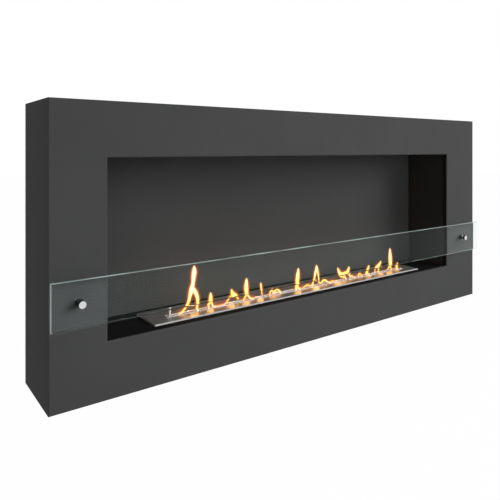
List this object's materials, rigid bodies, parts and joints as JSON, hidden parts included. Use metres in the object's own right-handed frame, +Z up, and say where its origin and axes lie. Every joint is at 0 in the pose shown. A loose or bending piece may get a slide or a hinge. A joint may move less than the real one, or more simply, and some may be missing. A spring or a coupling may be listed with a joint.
{
  "type": "bioethanol fireplace",
  "caption": "Long shallow wall-hung bioethanol fireplace: dark steel casing, open firebox, lift-out slot burner with sliding damper, and a low glass screen on stand-off holders.",
  "frame": {"origin": "the middle of the rear cover's face that lies against the wall", "axes": "+X to the right along the casing, +Y towards the wall, +Z up"},
  "size_m": [1.2, 0.17, 0.5],
  "materials": {
    "casing_coat": "satin anthracite powder coat",
    "firebox_coat": "matte heat-proof paint, near black",
    "galvanised_steel": "zinc-coated sheet",
    "burner_steel": "brushed stainless steel",
    "polished_steel": "polished",
    "zinc_steel": "zinc-plated",
    "screen_glass": "clear toughened glass with a green edge",
    "black_rubber": "matte",
    "ceramic_fibre": "matte fibre block",
    "insulation_board": "matte fibre board"
  },
  "bodies": {
    "casing": {"front_frame": "casing_coat", "rear_cover": "galvanised_steel", "cover_screw_1": "zinc_steel", "cover_screw_2": "zinc_steel", "cover_screw_3": "zinc_steel", "cover_screw_4": "zinc_steel", "cover_screw_5": "zinc_steel", "cover_screw_6": "zinc_steel", "cover_screw_7": "zinc_steel", "cover_screw_8": "zinc_steel", "hanger_plate_left": "galvanised_steel", "hanger_plate_right": "galvanised_steel", "firebox_back": "firebox_coat", "firebox_left_wall": "firebox_coat", "firebox_right_wall": "firebox_coat", "firebox_ceiling": "firebox_coat", "firebox_floor": "firebox_coat", "floor_bracket_left": "galvanised_steel", "floor_bracket_right": "galvanised_steel", "ceiling_bracket_left": "galvanised_steel", "ceiling_bracket_right": "galvanised_steel", "insulation_board_top": "insulation_board", "insulation_board_rear": "insulation_board", "glass_screen": "screen_glass", "holder_washer_rear_left": "black_rubber", "holder_washer_rear_right": "black_rubber", "holder_washer_front_left": "black_rubber", "holder_washer_front_right": "black_rubber", "holder_barrel_left": "polished_steel", "holder_barrel_right": "polished_steel", "holder_bush_left": "black_rubber", "holder_bush_right": "black_rubber", "holder_stud_left": "zinc_steel", "holder_stud_right": "zinc_steel", "holder_nut_left": "zinc_steel", "holder_nut_right": "zinc_steel"},
    "burner": {"burner_top_plate": "burner_steel", "burner_tank": "burner_steel", "slot_rim": "burner_steel", "slot_grille": "burner_steel", "damper_channel": "burner_steel", "tank_baffle_1": "burner_steel", "tank_baffle_2": "burner_steel", "plate_nut_1": "zinc_steel", "plate_nut_2": "zinc_steel", "plate_nut_3": "zinc_steel", "plate_nut_4": "zinc_steel", "plate_nut_5": "zinc_steel", "plate_nut_6": "zinc_steel", "ceramic_wool_1": "ceramic_fibre", "ceramic_wool_2": "ceramic_fibre", "ceramic_wool_3": "ceramic_fibre"},
    "damper": {"damper_slide": "burner_steel", "damper_knob": "polished_steel"},
    "cap_left": {"holder_cap_left": "polished_steel"},
    "cap_right": {"holder_cap_right": "polished_steel"}
  },
  "joints": [
    {"name": "burner_lift", "type": "slide", "parent": "casing", "child": "burner", "axis": [0, 0, 1], "range_m": [0, 0.18]},
    {"name": "damper_travel", "type": "slide", "parent": "burner", "child": "damper", "axis": [1, 0, 0], "range_m": [0, 0.012]},
    {"name": "cap_left_unscrew", "type": "slide", "parent": "casing", "child": "cap_left", "axis": [0, -1, 0], "range_m": [0, 0.0032]},
    {"name": "cap_right_unscrew", "type": "slide", "parent": "casing", "child": "cap_right", "axis": [0, -1, 0], "range_m": [0, 0.0032]}
  ]
}
